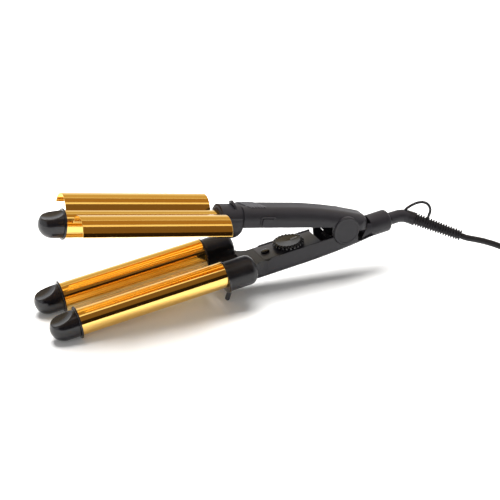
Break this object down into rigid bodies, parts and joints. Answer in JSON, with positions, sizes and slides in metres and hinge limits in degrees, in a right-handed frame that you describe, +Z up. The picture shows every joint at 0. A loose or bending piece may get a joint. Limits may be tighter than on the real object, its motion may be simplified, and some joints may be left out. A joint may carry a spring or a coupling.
{
  "type": "three-barrel hair waver",
  "caption": "Three-barrel deep hair waver: a hinged centre barrel with two wings closes into a trough between two lower barrels, with dial, fold-out stand and swivel cord.",
  "frame": {"origin": "on the ground, under the middle of the length from the cool tips to the hanging loop, in the plane of the middle barrel", "axes": "+X from the cool tips to the cord, +Y away from the side with the button, +Z up"},
  "size_m": [0.5792, 0.1875, 0.1176],
  "materials": {
    "gold_titanium": "polished titanium-gold coating",
    "gold_plate": "satin gold coating",
    "black_case": "fine matte",
    "black_tip": "satin",
    "grey_panel": "gloss",
    "dark_lens": "gloss",
    "white_mark": "print",
    "rubber_black": "matte",
    "steel": "satin",
    "nickel": "plated",
    "heater_block": "cast",
    "board_green": "laminate"
  },
  "bodies": {
    "lower_jaw": {"lower_barrel_front": "gold_titanium", "lower_barrel_rear": "gold_titanium", "lower_tip_front": "black_tip", "lower_tip_rear": "black_tip", "lower_collar_front": "black_tip", "lower_collar_rear": "black_tip", "heater_front": "heater_block", "heater_rear": "heater_block", "trough_plate": "gold_plate", "yoke": "black_case", "lower_handle": "black_case", "rear_cover": "black_case", "control_panel": "grey_panel", "indicator_lens": "dark_lens", "circuit_board": "board_green", "dial_switch": "steel", "hinge_pin": "steel", "opening_spring": "steel", "stand_bracket": "black_case", "case_screw_front": "steel", "case_screw_rear": "steel"},
    "upper_jaw": {"upper_barrel": "gold_titanium", "upper_tip": "black_tip", "upper_collar": "black_tip", "heater_upper": "heater_block", "wing_front": "gold_titanium", "wing_rear": "gold_titanium", "upper_handle": "black_case", "upper_cover": "black_case", "thumb_grip": "rubber_black", "side_switch": "black_case", "pivot_cap_front": "black_case", "pivot_cap_rear": "black_case"},
    "button": {"side_button": "black_case"},
    "dial": {"temperature_dial": "black_case", "dial_pointer": "white_mark"},
    "stand": {"stand_wire": "steel", "stand_foot_front": "rubber_black", "stand_foot_rear": "rubber_black"},
    "cord_swivel": {"swivel_neck": "black_case", "hang_loop": "rubber_black", "strain_relief": "rubber_black", "cord_free": "rubber_black", "cord_coil": "rubber_black", "cord_tie": "rubber_black", "cord_tail": "rubber_black", "plug_body": "rubber_black", "plug_pin_front": "nickel", "plug_pin_rear": "nickel"}
  },
  "joints": [
    {"name": "jaw_hinge", "type": "hinge", "parent": "lower_jaw", "child": "upper_jaw", "pos_m": [0.10341, 0, 0.05111], "axis": [0, -1, 0], "range_deg": [0, 17.7], "stiffness_Nm_per_rad": 0.8, "springref_deg": -51.57, "deforming": ["opening_spring"]},
    {"name": "dial_turn", "type": "hinge", "parent": "lower_jaw", "child": "dial", "pos_m": [0.04834, 0, 0.04064], "axis": [-0.1409, 0, 0.99], "range_deg": [-60, 210]},
    {"name": "button_press", "type": "slide", "parent": "upper_jaw", "child": "button", "axis": [0, 1, 0], "range_m": [0, 0.0012], "stiffness_N_per_m": 400, "springref_m": -0.001},
    {"name": "stand_fold", "type": "hinge", "parent": "lower_jaw", "child": "stand", "pos_m": [-0.01816, 0, 0.01461], "axis": [0, -1, 0], "range_deg": [0, 100]},
    {"name": "cord_swivel_turn", "type": "hinge", "parent": "lower_jaw", "child": "cord_swivel", "pos_m": [0.16542, 0, 0.04832], "axis": [0.99, 0, 0.1409], "continuous": true}
  ]
}
